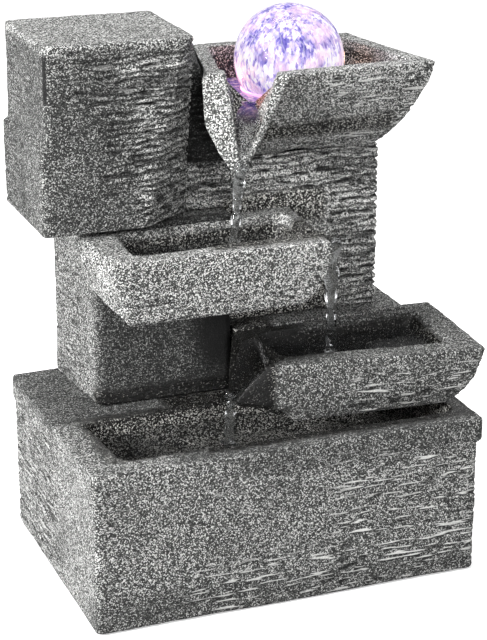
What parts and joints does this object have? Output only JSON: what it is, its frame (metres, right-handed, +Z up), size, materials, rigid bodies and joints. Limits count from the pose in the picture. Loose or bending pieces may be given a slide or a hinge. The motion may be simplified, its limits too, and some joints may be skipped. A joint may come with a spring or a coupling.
{
  "type": "tabletop water fountain",
  "caption": "Stone-look cascade fountain: bowls with spouts step down from a lit glass ball on the top bowl to a basin that hides a small pump.",
  "frame": {"origin": "middle of the object's footprint, on the surface it stands on", "axes": "+X to the fountain's right seen from the front, +Y to its back, +Z up"},
  "size_m": [0.2254, 0.152, 0.2913],
  "materials": {
    "speckled_stone": "matte",
    "black_rubber": "matte",
    "black_plastic": "satin",
    "grey_plastic": "satin",
    "clear_plastic": "gloss",
    "filter_foam": "matte",
    "white_ceramic": "satin",
    "rotor_ferrite": "satin",
    "crackled_glass": "gloss",
    "circuit_board": "satin",
    "water": "gloss"
  },
  "bodies": {
    "fountain": {"basin_casting": "speckled_stone", "pillar_casting": "speckled_stone", "block_casting": "speckled_stone", "tower_casting": "speckled_stone", "pedestal_casting": "speckled_stone", "top_bowl": "speckled_stone", "middle_bowl": "speckled_stone", "lower_bowl": "speckled_stone", "cable_grommet": "black_rubber", "foot_front_left": "black_rubber", "foot_front_right": "black_rubber", "foot_rear_left": "black_rubber", "foot_rear_right": "black_rubber", "suction_cup_front_left": "black_rubber", "suction_cup_front_right": "black_rubber", "suction_cup_rear_left": "black_rubber", "suction_cup_rear_right": "black_rubber", "shaft_bush_front": "black_rubber", "shaft_bush_rear": "black_rubber", "lens_seal": "black_rubber", "light_lead": "black_rubber", "pump_housing": "black_plastic", "volute_cover": "black_plastic", "outlet_nozzle": "black_plastic", "jet_manifold": "black_plastic", "light_housing": "black_plastic", "riser_tube": "clear_plastic", "light_lens": "clear_plastic", "ball_seat": "clear_plastic", "impeller_shaft": "white_ceramic", "light_board": "circuit_board"},
    "ball": {"glass_ball": "crackled_glass"},
    "rotor": {"impeller": "rotor_ferrite"},
    "intake_grille": {"intake_cover": "black_plastic", "filter_sponge": "filter_foam"},
    "flow_control": {"flow_slider": "grey_plastic"},
    "hatch": {"rear_cover": "speckled_stone"}
  },
  "joints": [
    {"name": "ball_spin", "type": "hinge", "parent": "fountain", "child": "ball", "pos_m": [0.0326, 0.03, 0.262], "axis": [0, 0, 1], "continuous": true},
    {"name": "impeller_spin", "type": "hinge", "parent": "fountain", "child": "rotor", "pos_m": [-0.0397, 0.048, 0.032], "axis": [0, 1, 0], "continuous": true},
    {"name": "intake_pull", "type": "slide", "parent": "fountain", "child": "intake_grille", "axis": [0, -1, 0], "range_m": [0, 0.022]},
    {"name": "flow_slide", "type": "slide", "parent": "intake_grille", "child": "flow_control", "axis": [1, 0, 0], "range_m": [0, 0.014]},
    {"name": "hatch_pull", "type": "slide", "parent": "fountain", "child": "hatch", "axis": [0, 1, 0], "range_m": [0, 0.05]}
  ]
}
